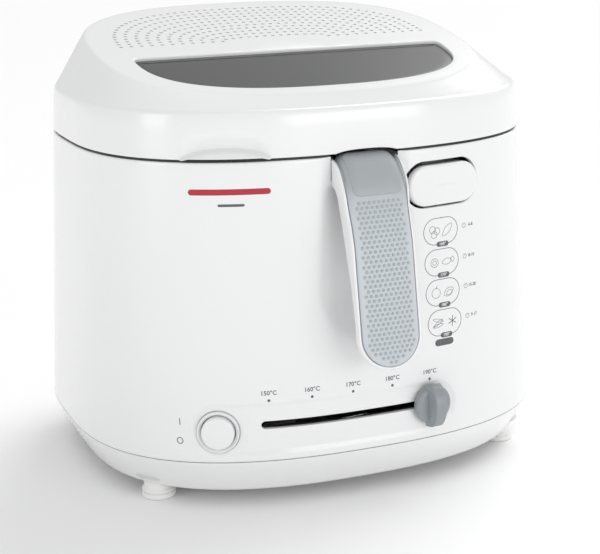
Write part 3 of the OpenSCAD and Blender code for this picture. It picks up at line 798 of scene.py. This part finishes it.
def handle_plate(name, half, top_s, low_s, low_corner, top_corner, upper, lower, slot, body,
                 replaces=(), edge=1.0, rows=150, paint=None):
    """A plate bent over the head: half wide, round ends, upper(x, s) and lower(x, s) give its faces."""
    columns = 45
    u = np.sin(np.linspace(-math.pi / 2, math.pi / 2, columns))
    wave = 0.5 - 0.5 * np.cos(np.linspace(0, math.pi, rows))
    s = top_s + (low_s - top_s) * (0.45 * wave + 0.55 * np.linspace(0, 1, rows))
    from_low, from_top = low_s - s, s - top_s
    wide = half + HEAD_FLARE * smooth(20, -14, s)
    w = wide.copy()
    for away, corner in ((from_low, low_corner), (from_top, top_corner)):
        near = np.clip(corner - away, 0, corner)
        round_end = np.sqrt(np.maximum(corner ** 2 - near ** 2, (0.02 * corner) ** 2))
        w = np.minimum(w, wide - corner + round_end)
    x = u[None, :] * w[:, None]
    grid_s = np.repeat(s[:, None], columns, 1)
    rim = np.minimum(w[:, None] - np.abs(x), np.minimum(from_low, from_top)[:, None])
    for away, corner in ((from_low, low_corner), (from_top, top_corner)):
        side = (wide - corner)[:, None]
        in_corner = (away[:, None] < corner) & (np.abs(x) > side)
        reach = corner - np.hypot(np.abs(x) - side, corner - away[:, None])
        rim = np.where(in_corner, np.minimum(reach, rim), rim)
    rim = np.clip(rim, 0, edge)
    drop = edge - np.sqrt(np.maximum(edge ** 2 - (edge - rim) ** 2, 0))
    tops = handle_point(x, grid_s, upper(x, grid_s) - drop).reshape(-1, 3)
    bottoms = handle_point(x, grid_s, lower(x, grid_s)).reshape(-1, 3)
    total = rows * columns
    faces = []
    for i in range(rows - 1):
        for j in range(columns - 1):
            a, b = i * columns + j, (i + 1) * columns + j
            faces += [(a, a + 1, b + 1, b), (total + a, total + b, total + b + 1, total + a + 1)]
    last = (rows - 1) * columns
    border = [*range(columns), *range(2 * columns - 1, total, columns)]
    border += [*range(total - 2, last - 1, -1), *range(last - columns, 0, -columns)]
    for a, b in zip(border, border[1:] + border[:1]):
        faces.append((a, total + a, total + b, b))
    return add(name, np.concatenate([tops, bottoms]), faces, slot, body, replaces, 38, paint)


def sink(s):
    """The head bends back in an easy curve, inside the circle that its end moves on."""
    return 5.4 * smooth(32, -10, s) * smooth(HEAD_END, -12, s)


def crown(x, s):
    """The grip's face bows out across its width, and stands fuller over the head."""
    u = np.clip(np.abs(x) / GRIP_HALF, 0, 1)
    full = smooth(10, -22, s)
    return 0.8 * (1 - u ** 2) * (1 - full) + 4.1 * (1 - u ** 7) * full


def grip_face(x, s):
    return HEAD_R + 0.9 + crown(x, s) - sink(s)


def shell_face(x, s):
    return HEAD_R - sink(s) + 2.4 * smooth(10, -22, s) + 0 * x


def back_face(x, s):
    """The white back has deep side walls at the head and gets thin towards the grip's end."""
    wall = smooth(12, 16, np.abs(x))
    middle = 11.5 + 5.2 * smooth(-5, 70, s) - 0.6 * sink(s)
    side = 7 + 9.5 * smooth(-5, 70, s)
    return middle + (side - middle) * wall


def grip_base(x, s):
    return shell_face(x, s) - 1.5


def handle_back():
    back = handle_plate("handle_back", HANDLE_HALF, HEAD_END, GRIP_LEN, HANDLE_HALF, 6,
                        shell_face, back_face, "white_gloss", None)
    pocket = handle_plate("pocket", GRIP_HALF + 0.6, HEAD_END - 4, GRIP_LEN - 1.6, GRIP_HALF + 0.6, 1,
                          lambda x, s: shell_face(x, s) + 6, lambda x, s: shell_face(x, s) - 1.6,
                          "white_gloss", None, edge=0.1)
    cut(back, [pocket])
    return dress(back, "white_gloss", HANDLE, ["handle_shell"])


def handle_insert():
    # The insert's grey darkens over the head, painted shade.
    return handle_plate("handle_insert", GRIP_HALF, HEAD_END + 0.4, GRIP_END, GRIP_HALF, 5,
                        grip_face, grip_base, "grey_grip", HANDLE, ["handle_grip"],
                        edge=1.1, rows=200, paint="insert_grey_painted_shade")


def thumb_panel():
    # The panel takes the darker grey, painted shade over the head.
    return handle_plate("thumb_panel", 14, HEAD_END + 5, -0.5, 4, 4,
                        lambda x, s: grip_face(x, s) + 0.55, lambda x, s: grip_face(x, s) - 0.3,
                        "grey_grip", "thumb", ["thumb_slide"], edge=0.55, rows=80, paint="thumb_grey_painted_shade")


def hub():
    """The handle's bearing block round the pivot pin."""
    half, r = 7.0, 6
    turn = full_turn(48)
    rings = []
    for x, scale in ((-half, 0.9), (-half + 0.6, 1), (half - 0.6, 1), (half, 0.9)):
        reach = np.where(np.cos(turn) < 0, 15, r) * scale
        y = PIVOT.y + reach * np.cos(turn)
        z = PIVOT.z + np.where(np.cos(turn) < 0, 6.5, r) * scale * np.sin(turn)
        rings.append(np.stack([np.full(48, x), y, z], 1))
    return loft("handle_hub", rings, "white_gloss", HANDLE)


BUMP_PITCH, BUMP_ROW, BUMP_R, BUMP_H = 3.05, 2.75, 0.98, 0.85


def grip_bumps():
    """Staggered rows of small domes on the straight part of the grip."""
    verts, faces = [], []
    turn = full_turn(12)
    levels = np.radians([0, 30, 60, 82])
    centre_s = GRIP_END - GRIP_HALF
    wide = GRIP_HALF - 2.3
    for row in range(35):
        s0 = 3.5 + row * BUMP_ROW
        shift = (row % 2) * BUMP_PITCH / 2
        past = max(s0 - centre_s, 0)
        for column in range(-6, 7):
            x0 = column * BUMP_PITCH + shift
            if past >= wide or abs(x0) > math.sqrt(wide ** 2 - past ** 2):
                continue
            start = len(verts)
            for angle in levels:
                reach = BUMP_R * math.cos(angle)
                x, s = x0 + reach * np.cos(turn), s0 + reach * np.sin(turn)
                verts += list(handle_point(x, s, grip_face(x, s) + BUMP_H * math.sin(angle) - 0.06))
            faces += [tuple(start + i for i in f) for f in loft_faces(len(levels), 12)]
    # The domes take the darker grey, painted shade for their contrast.
    return add("grip_bumps", verts, faces, "grey_grip", HANDLE, (), 50, "bump_grey_painted_shade")


# ---- Controls ----


def release_cap():
    """The wide push button: a rounded stadium that follows the bow of the front."""
    place = facing(RELEASE_AT, RELEASE_ANGLE)
    w, h, edge = 50, 24, 1.7
    top = 0.6
    steps = [(0, -3), (0, top - edge)]
    for t in np.radians([18, 36, 54, 72, 90]):
        steps.append((edge * (1 - math.cos(t)), top - edge + edge * math.sin(t)))
    steps += [(inset, top) for inset in (3, 5, 8, 11.9)]
    rings = []
    for inset, height in steps:
        flat = stadium(w, h, -inset)
        bow = 0.9 * (1 - (flat[:, 0] / (w / 2)) ** 2) * (height > -2)
        rings.append(moved(np.column_stack([flat, height + 0.3 + bow]), place))
    return loft("release_cap", rings, "white_gloss", "release_cap", ["release_button"])


def power_ring():
    profile = [(10.1, -5), (10.1, -1.2), (10.35, -0.5), (10.9, 0.2), (11.6, 0.75), (12.2, 0.7),
               (12.45, 0.3), (12.5, -0.4), (12.5, -5)]
    place = facing(POWER_AT, POWER_ANGLE)
    lathe("power_ring", profile, "white_gloss", SHELL, place, ["power_bezel"], 96, 40, closed=True)


def power_cap():
    profile = [(0.05, -5), (9.75, -5), (9.75, 2.2), (9.6, 2.75), (9.2, 3.1), (8.6, 3.25), (7.4, 3.3),
               (5.5, 3.35), (3.0, 3.42), (0.05, 3.45)]
    place = facing(POWER_AT, POWER_ANGLE)
    lathe("power_cap", profile, "white_gloss", "power_cap", place, ["power_button"], 96, 40)


def knob_place():
    out = Vector((math.sin(KNOB_ANGLE), -math.cos(KNOB_ANGLE), 0))
    return facing(SLIDE_AXIS + out * SLIDE_R, KNOB_ANGLE)


def knob_disc():
    profile = [(0.05, 0.6), (11.2, 0.6), (11.8, 0.9), (12.0, 1.6), (12.0, 3.4), (11.75, 4.3),
               (11.1, 5.0), (10.2, 5.4), (9.0, 5.6), (0.05, 5.8)]
    lathe("knob_disc", profile, "grey_knob", "slider", knob_place(), ["temperature_knob"], 96, 40)


def knob_ridge():
    """The grip ridge: an upright bar with a round crest and drooping ends."""
    base, tip, corner = 5.0, 3.7, 0.8
    length, crest_r, round_end = 12.7, 17.4, 1.5
    place = knob_place()
    turn = np.radians([0, 22.5, 45, 67.5, 90])
    rings = []
    for v in np.sin(np.linspace(-math.pi / 2, math.pi / 2, 61)) * length:
        end = length + 0.05 - abs(v)
        fall = round_end - math.sqrt(max(round_end ** 2 - (round_end - min(end, round_end)) ** 2, 0))
        height = -4 + math.sqrt(crest_r ** 2 - v ** 2) - fall
        side = np.stack([tip + corner * (np.cos(turn) - 1), height + corner * (np.sin(turn) - 1)], 1)
        half = np.concatenate([[[base, 3]], side])
        loop = np.concatenate([half, half[::-1] * [-1, 1]])
        rings.append(moved(np.column_stack([loop[:, 0], np.full(len(loop), v), loop[:, 1]]), place))
    return loft("knob_ridge", rings, "grey_knob", "slider", (), False, 50)


# ---- Printing ----

PRINT_T = 0.04


class Print:
    """Flat marks on the front, gathered into one mesh."""

    def __init__(self):
        self.verts, self.faces = [], []

    def patch(self, points, faces, at, lift=0.0):
        """points are (x along the front, z) about at; the patch stands PRINT_T proud."""
        start, count = len(self.verts), len(points)
        x = across(along(at[0]) + points[:, 0])
        for depth in (-PRINT_T - lift, 0.03):
            self.verts += list(on_front(x, at[1] + points[:, 1], depth))
        edges = {}
        for f in faces:
            self.faces.append(tuple(start + i for i in f))
            self.faces.append(tuple(start + count + i for i in reversed(f)))
            for a, b in zip(f, f[1:] + f[:1]):
                edges[(a, b)] = True
        for a, b in edges:
            if (b, a) not in edges:
                self.faces.append((start + a, start + count + a, start + count + b, start + b))

    def stroke(self, points, at, width=0.25, closed=True):
        """A line of even width along points."""
        points = np.asarray(points, float)
        ahead, behind = np.roll(points, -1, 0), np.roll(points, 1, 0)
        if not closed:
            ahead[-1], behind[0] = points[-1], points[0]
        run = ahead - behind
        run /= np.linalg.norm(run, axis=1, keepdims=True)
        side = np.stack([run[:, 1], -run[:, 0]], 1) * width / 2
        n = len(points)
        faces = [(i, (i + 1) % n, n + (i + 1) % n, n + i) for i in range(n if closed else n - 1)]
        self.patch(np.concatenate([points + side, points - side]), faces, at)

    def fill(self, w, h, at, lift=0.0):
        """A bar w wide and h high with round ends."""
        n = 25
        u = -np.cos(np.linspace(0.12, math.pi - 0.12, n))
        u = u / u[-1]
        past = np.maximum(np.abs(u) * w / 2 - (w - h) / 2, 0)
        tall = 2 * np.sqrt(np.maximum((h / 2) ** 2 - past ** 2, (0.02 * h) ** 2))
        rows = [np.stack([u * w / 2, tall * k / 2], 1) for k in (-1, 0, 1)]
        faces = [(k, k + 1, n + k + 1, n + k) for r in (0, n) for k in range(r, r + n - 1)]
        self.patch(np.concatenate(rows), faces, at, lift)

    def text(self, words, at, size, lift=0.0):
        """Figures from Blender's own font, centred on at."""
        curve = bpy.data.curves.new("figures", "FONT")
        curve.body, curve.size, curve.align_x, curve.align_y = words, size, "CENTER", "CENTER"
        curve.resolution_u = 3
        curve.offset = 0.018 * size
        holder = linked("figures", curve)
        bpy.context.view_layer.update()
        graph = bpy.context.evaluated_depsgraph_get()
        mesh = bpy.data.meshes.new_from_object(holder.evaluated_get(graph))
        points = np.array([v.co[:2] for v in mesh.vertices])
        faces = [tuple(p.vertices) for p in mesh.polygons]
        bpy.data.objects.remove(holder)
        self.patch(points, faces, at, lift)

    def done(self, name, paint):
        return add(name, self.verts, self.faces, None, SHELL, (), 20, paint)


def leaf(length, width, angle, centre):
    """Pointed oval outline."""
    t = np.linspace(0, 1, 15)
    side = np.stack([(t - 0.5) * length, width / 2 * np.sin(math.pi * t) ** 0.8], 1)
    loop = np.concatenate([side[:-1], (side * [1, -1])[::-1][:-1]])
    c, s = math.cos(angle), math.sin(angle)
    return loop @ np.array([[c, s], [-s, c]]) + centre


SCALE_X, SCALE_STEP, SCALE_Z = -62.6, 25.3, 68.5
PILLS = [(48.0, 157.3), (48.5, 138.6), (49.0, 120.3), (50.2, 101.7)]
MINUTES = ("6-8", "8-10", "15-20", "9-17")


def pictogram(ink, kind, at):
    """Plain generic food signs made of circles, leaves and bars."""
    signs = [
        [circle(2.1, (-6.0, 1.2), 24), circle(2.1, (-3.0, 0.2), 24), circle(2.1, (-5.0, -1.8), 24),
         leaf(10, 4, 0.8, (4.5, 0.3))],
        [circle(2.6, (-5.4, 0), 24), circle(1.3, (-5.4, 0), 20), leaf(7.5, 3.6, 0.15, (3.5, 0)),
         leaf(3.4, 2.6, 1.57, (7.6, 0.8))],
        [circle(3.0, (-5.0, -0.2), 28), leaf(8, 4.8, 0.5, (4.2, -0.4)), leaf(5, 2.8, 0.5, (4.6, -0.8))],
        [leaf(8, 1.9, 0.2, (-5, -1.6)), leaf(8, 1.9, 0.55, (-5, 0)), leaf(8, 1.9, -0.25, (-5, 1.6))]]
    for outline in signs[kind]:
        ink.stroke(outline, at)
    if kind == 2:
        ink.stroke([[-5.0, 2.6], [-4.4, 4.2]], at, 0.3, False)
    if kind == 3:
        for k in range(3):
            angle = k * math.pi / 3 + 0.5
            arm = np.array([math.cos(angle), math.sin(angle)]) * 3.2
            ink.stroke(np.array([arm, -arm]) + [5.5, 0], at, 0.5, False)


def print_scale(ink):
    """The temperature scale and the signs beside the on/off button."""
    for i in range(5):
        x = SCALE_X + SCALE_STEP * i
        ink.fill(1.7, 1.7, (x, SCALE_Z))
        ink.text(f"{150 + 10 * i}\u00b0C", (x, SCALE_Z + 4.4), 3.7)
    ink.stroke([[0, 2.1], [0, -2.1]], (-110.3, 56.4), 0.5, False)
    ink.stroke(circle(1.75), (-110.7, 44.9), 0.5)


def print_guide(ink, pale):
    """The four frames with a food sign, its temperature and its minutes."""
    for kind, (x, z) in enumerate(PILLS):
        ink.stroke(stadium(24.5, 15.8), (x, z), 0.38)
        pictogram(ink, kind, (x, z))
        tab = (x + 1.0, z - 7.8)
        ink.fill(8.6, 3.1, tab, 0.03)
        pale.text(f"{160 + 10 * kind}\u00b0", tab, 2.6, 0.06)
        clock = (x + 17.0, z + 1.0)
        ink.stroke(circle(1.35, (0, 0), 24), clock)
        ink.stroke([[0, 0], [0, 0.8], [0.01, 0.81]], clock, 0.22, False)
        ink.text(MINUTES[kind], (clock[0] + 5.2, clock[1]), 2.7)
    ink.fill(13.5, 4.2, (49.6, 89.6))


def prints():
    ink, pale, red = Print(), Print(), Print()
    print_scale(ink)
    print_guide(ink, pale)
    red.fill(46, 3.4, (-79, 190.5))
    ink.fill(15, 1.5, (-78.5, 183))
    ink.done("print_marks", "print_dark")
    pale.done("print_figures", "white_gloss")
    red.done("print_emblem", "print_red")


# ---- Inside ----


def bowl_skin():
    profile = [(86, 60), (86, 17), (86.6, 13), (88, 9), (91, 5.6), (96, 3.2), (101, 2), (110, 1.4),
               (168, 0.2), (170, 0), (170.2, -5.6), (170.9, -6), (171.8, -5.9), (172, -5), (172, 0.6),
               (171.6, 1.6), (170.5, 2.2), (110, 3.4), (102, 4), (97, 5.4), (92.5, 8), (89.6, 12),
               (88.2, 17), (88, 22), (88, 60), (88, 90)]
    rings = [bowl_ring(z, inset) for z, inset in profile]
    return loft("bowl_skin", rings, "nonstick", SHELL, ["oil_bowl"])


def collar_skin():
    """White funnel between the body's wall and the bowl's rim."""
    profile = [(-2.2, 14.8), (-2.2, 12), (-2.2, 3.1), (0, 3.1), (0, 15.6), (-0.5, 16.6), (-1.6, 17.2)]
    slope = [level(oval(BOWL_TURNS, HALF_W - inset, FRONT - inset, REAR - inset), COLLAR_Z + up)
             for up, inset in profile]
    rings = [bowl_ring(172.4, -6), *slope, bowl_ring(172.4, -3.4)]
    skin = loft("collar_skin", rings, "white_gloss", None, loop=True)
    latch = box_cutter(12, (6, 22), (190, 215), 0)
    turned = Matrix.Rotation(RELEASE_ANGLE, 4, "Z")
    latch.data.transform(Matrix.Translation((RELEASE_AT.x * MM, RELEASE_AT.y * MM, 0)) @ turned)
    cut(skin, [box_cutter(24.6, (-150, -107.1), (160, 210)), box_cutter(ARM_HALF, (-112, -90), (174, 210)),
               box_cutter(48, (106.5, 140), (180, 210)), latch])
    return dress(skin, "white_gloss", SHELL, ["bowl_collar"])


def tube(points, r, sides, closed=False):
    """Vertices and faces of a round wire along points."""
    points = np.asarray(points, float)
    n = len(points)
    run = np.roll(points, -1, 0) - np.roll(points, 1, 0)
    if not closed:
        run[0], run[-1] = points[1] - points[0], points[-1] - points[-2]
    run /= np.linalg.norm(run, axis=1, keepdims=True)
    normal = np.cross(run[0], (0.13, 0.21, 0.97))
    turn = full_turn(sides)
    rings = []
    for p, t in zip(points, run):
        normal = normal - t * normal.dot(t)
        normal /= np.linalg.norm(normal)
        side = np.cross(t, normal)
        rings.append(p + r * (np.cos(turn)[:, None] * normal + np.sin(turn)[:, None] * side))
    return np.concatenate(rings), loft_faces(n, sides, closed)


def basket_wires():
    """Level hoops, bent uprights, a floor grid and a floor ring, all of round wire."""
    heights = np.array([0, 0.6, 3, 7, 12, 30, 67])
    insets = np.array([16, 11, 6, 3.6, 2.4, 1.6, 0.3])
    verts, faces = [], []

    def wire(points, r, closed=False):
        v, f = tube(points, r, 6, closed)
        start = len(verts)
        verts.extend(list(v))
        faces.extend(tuple(start + i for i in face) for face in f)

    def wall(turn, inset, height):
        inset = inset + BASKET_INSET
        x, y = oval(np.array([turn]), BOWL_HALF - inset, BOWL_FRONT - inset, BOWL_REAR - inset)
        return x[0], y[0] + CENTRE_Y, BASKET_FLOOR + height

    for height in (10, 20, 30, 40, 50, 60):
        inset = BASKET_INSET + float(np.interp(height, heights, insets))
        wire(bowl_ring(BASKET_FLOOR + height, inset, BOWL_TURNS[::2]), 0.55, True)
    for turn in even_turns(96, BOWL_HALF, BOWL_FRONT, BOWL_REAR):
        wire([wall(turn, i, h) for h, i in zip(heights, insets)][::-1], 0.5)
    floor_inset = BASKET_INSET + insets[0]
    half, front, rear = BOWL_HALF - floor_inset, BOWL_FRONT - floor_inset, BOWL_REAR - floor_inset
    for x in np.arange(-88, 89, 8):
        reach = (1 - (abs(x) / half) ** SIDE_POWER) ** (1 / END_POWER)
        z = BASKET_FLOOR + 0.3
        wire([(x, -front * reach + CENTRE_Y, z), (x, rear * reach + CENTRE_Y, z)], 0.5)
    for y in np.arange(-72, 73, 8):
        deep = front if y < 0 else rear
        if abs(y) < deep:
            reach = half * (1 - (abs(y) / deep) ** END_POWER) ** (1 / SIDE_POWER)
            z = BASKET_FLOOR + 1.1
            wire([(-reach, y + CENTRE_Y, z), (reach, y + CENTRE_Y, z)], 0.5)
    wire(bowl_ring(BASKET_FLOOR + 0.5, floor_inset, BOWL_TURNS[::2]), 0.8, True)
    add("basket_wires", verts, faces, "chromed", BASKET, ["basket_mesh"], 60)


def basket_rim_ring():
    v, f = tube(bowl_ring(BASKET_RIM + 1.8, BASKET_INSET + 0.3), 1.7, 14, True)
    add("basket_rim_ring", v, f, "chromed", BASKET, ["basket_rim"], 60)


def dress_cad():
    """Every CAD node that stays in view takes the material of its slot."""
    slots = {s["node"]: s["material_slot"] for s in frame["record"]["subparts"]}
    for name, node in frame["nodes"].items():
        node.data.materials.clear()
        node.data.materials.append(MATERIALS[slots[name]])
        node.data.shade_smooth()
        node.data.set_sharp_from_angle(angle=math.radians(30))


# ---- Studio ----

CAMERA_AT = Vector((-0.33732, -0.86687, 0.34638))
CAMERA_AZ, CAMERA_EL, CAMERA_ROLL = -0.375, 0.2507, -0.0225
CAMERA_LENS = 87.87


def camera():
    data = bpy.data.cameras.new("camera")
    data.lens, data.sensor_width = CAMERA_LENS, 36
    obj = linked("camera", data)
    sa, ca, se, ce = math.sin(CAMERA_AZ), math.cos(CAMERA_AZ), math.sin(CAMERA_EL), math.cos(CAMERA_EL)
    back, right = Vector((sa * ce, -ca * ce, se)), Vector((ca, sa, 0))
    up = back.cross(right)
    c, s = math.cos(CAMERA_ROLL), math.sin(CAMERA_ROLL)
    axes = (c * right + s * up, -s * right + c * up, back)
    obj.matrix_world = Matrix.Translation(CAMERA_AT) @ Matrix(axes).transposed().to_4x4()
    bpy.context.scene.camera = obj


def softbox(name, at, aim, size, power):
    data = bpy.data.lights.new(name, "AREA")
    data.shape, data.size, data.size_y, data.energy = "RECTANGLE", size[0], size[1], power
    obj = linked(name, data)
    obj.location = at
    obj.rotation_euler = (Vector(at) - Vector(aim)).to_track_quat("Z", "Y").to_euler()


def sunlight(name, azimuth, height, spread, strength):
    """Even, very soft light from far away: azimuth from the back towards the right."""
    data = bpy.data.lights.new(name, "SUN")
    data.angle, data.energy = math.radians(spread), strength
    obj = linked(name, data)
    a, h = math.radians(azimuth), math.radians(height)
    towards = Vector((math.sin(a) * math.cos(h), math.cos(a) * math.cos(h), math.sin(h)))
    obj.rotation_euler = towards.to_track_quat("Z", "Y").to_euler()


def studio():
    world = bpy.data.worlds.new("studio")
    world.use_nodes = True
    world.node_tree.nodes["Background"].inputs["Color"].default_value = (1, 1, 1, 1)
    world.node_tree.nodes["Background"].inputs["Strength"].default_value = 0.71
    bpy.context.scene.world = world
    bpy.context.scene.view_settings.view_transform = "Standard"
    sunlight("back_light", 58, 42, 50, 1.5)
    softbox("front_light", (0.75, -2.2, 0.5), (0, 0, 0.14), (1.6, 0.8), 12)
    softbox("left_light", (-2.1, -0.5, 0.6), (0, 0, 0.16), (0.8, 1.0), 6)
    floor()


def floor():
    size, cells = 9000, 24
    grid = np.linspace(-size, size, cells + 1)
    verts = [(x, y, 0) for y in grid for x in grid]
    starts = [j * (cells + 1) + i for j in range(cells) for i in range(cells)]
    faces = [(k, k + 1, k + cells + 2, k + cells + 1) for k in starts]
    add("floor", verts, faces, None, None, (), 30, "floor_paint")


camera()
dress_cad()
body_skin()
base_skin()
feet()
lid_skin()
window_pane()
joint_shadow_ring()
handle_back()
handle_insert()
thumb_panel()
hub()
grip_bumps()
release_cap()
power_ring()
power_cap()
knob_disc()
knob_ridge()
prints()
bowl_skin()
collar_skin()
basket_wires()
basket_rim_ring()
studio()
